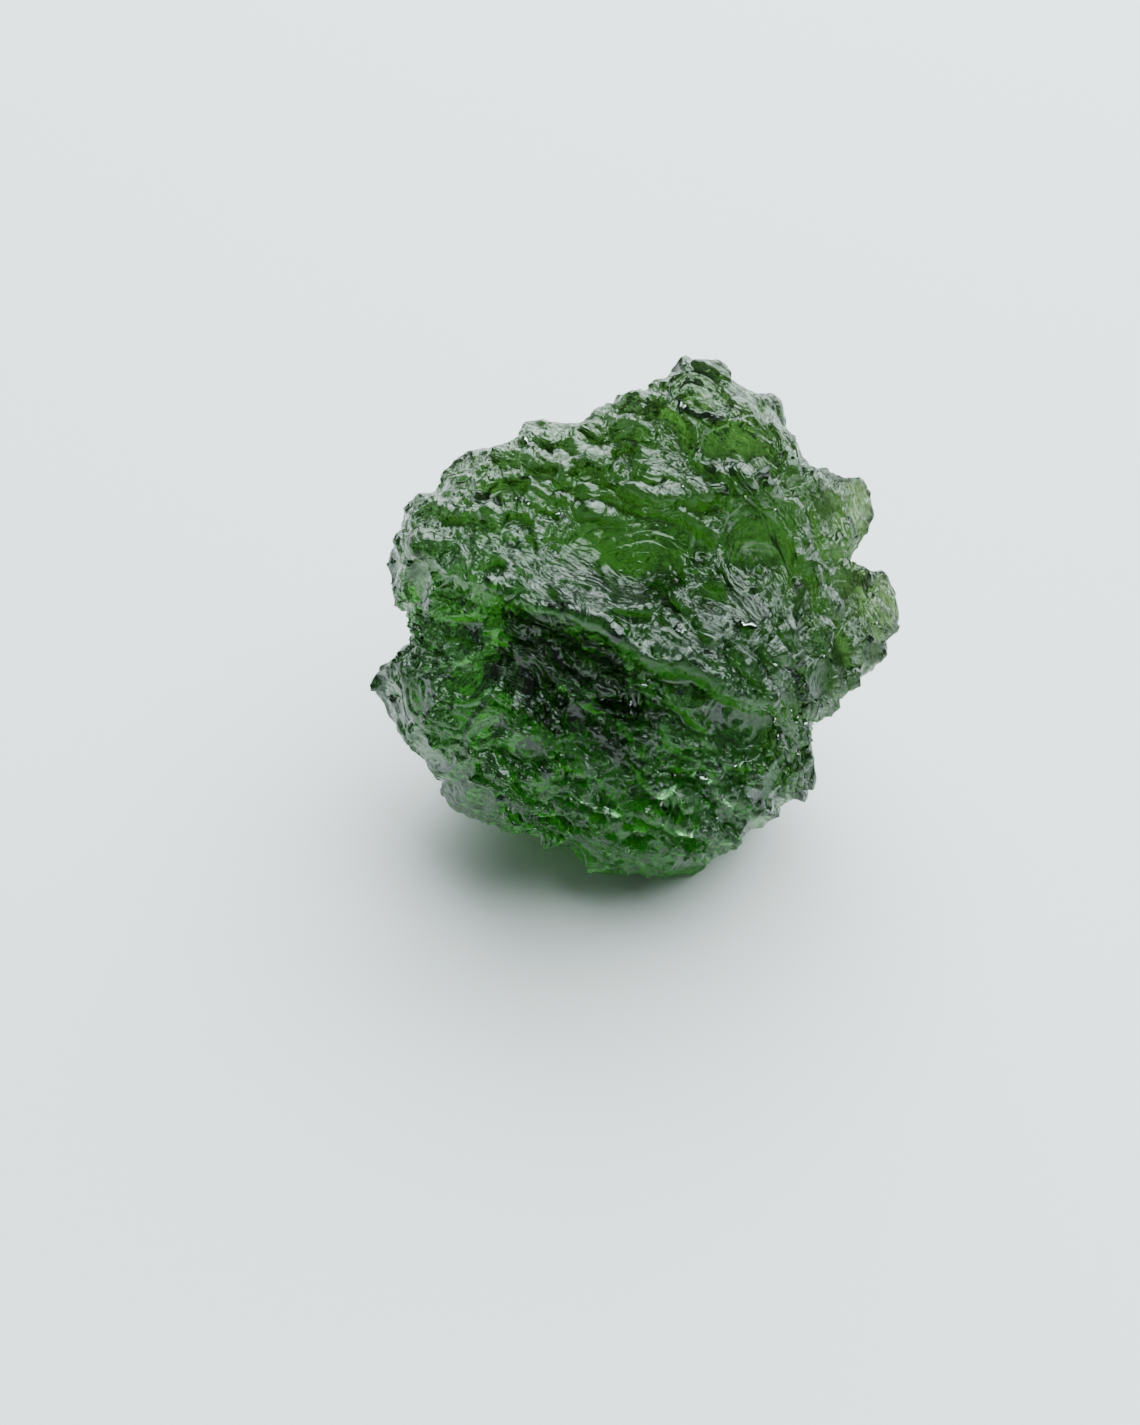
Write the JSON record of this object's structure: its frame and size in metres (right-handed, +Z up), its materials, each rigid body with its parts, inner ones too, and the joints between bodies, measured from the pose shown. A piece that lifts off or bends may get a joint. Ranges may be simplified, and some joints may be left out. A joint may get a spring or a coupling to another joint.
{
  "type": "moldavite",
  "caption": "Natural lump of deeply etched green glass, scooped and ridged all over, with two thin lobes on one side, resting on a small flat spot.",
  "frame": {"origin": "middle of the bounding box in X and Y, at the level of the flat spot that it rests on", "axes": "+Z up, +X along the lump's longest side towards its two thin lobes, -Y the side that the deeply scooped face looks to"},
  "size_m": [0.0402, 0.0305, 0.0361],
  "materials": {
    "moldavite_glass": "see-through leaf-green natural glass, glossy in its scoops and satin on its ridges"
  },
  "bodies": {
    "root": {"moldavite": "moldavite_glass"}
  },
  "joints": []
}
